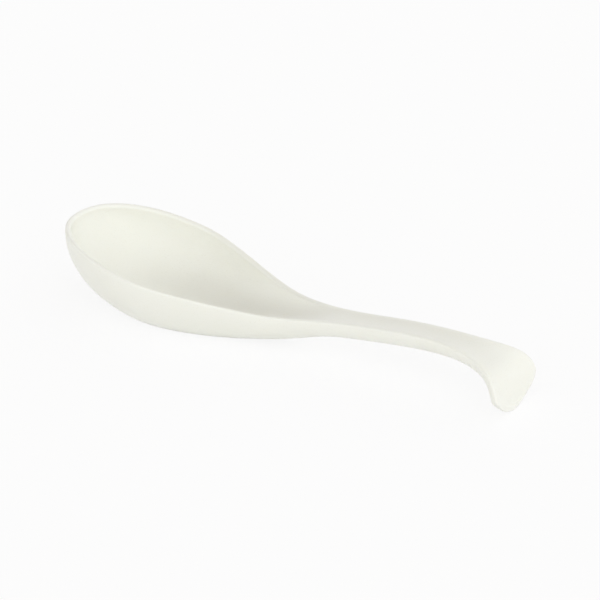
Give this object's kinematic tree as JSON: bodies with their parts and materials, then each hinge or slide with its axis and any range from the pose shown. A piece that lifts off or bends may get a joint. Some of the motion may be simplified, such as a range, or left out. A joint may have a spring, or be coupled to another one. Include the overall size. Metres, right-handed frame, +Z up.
{
  "type": "melamine soup spoon",
  "caption": "Ivory melamine soup spoon with a deep oval bowl, a shallow channel along the handle and a flared end that hooks over the rim of a bowl.",
  "frame": {"origin": "on the table under the deepest part of the bowl, on the flat foot that the spoon stands on", "axes": "+X along the spoon from the bowl to the hook, +Y to the right for a person who looks from the hook to the bowl, +Z up out of the bowl"},
  "size_m": [0.1638, 0.047, 0.0255],
  "materials": {
    "melamine": "gloss"
  },
  "bodies": {
    "root": {"spoon": "melamine"}
  },
  "joints": []
}
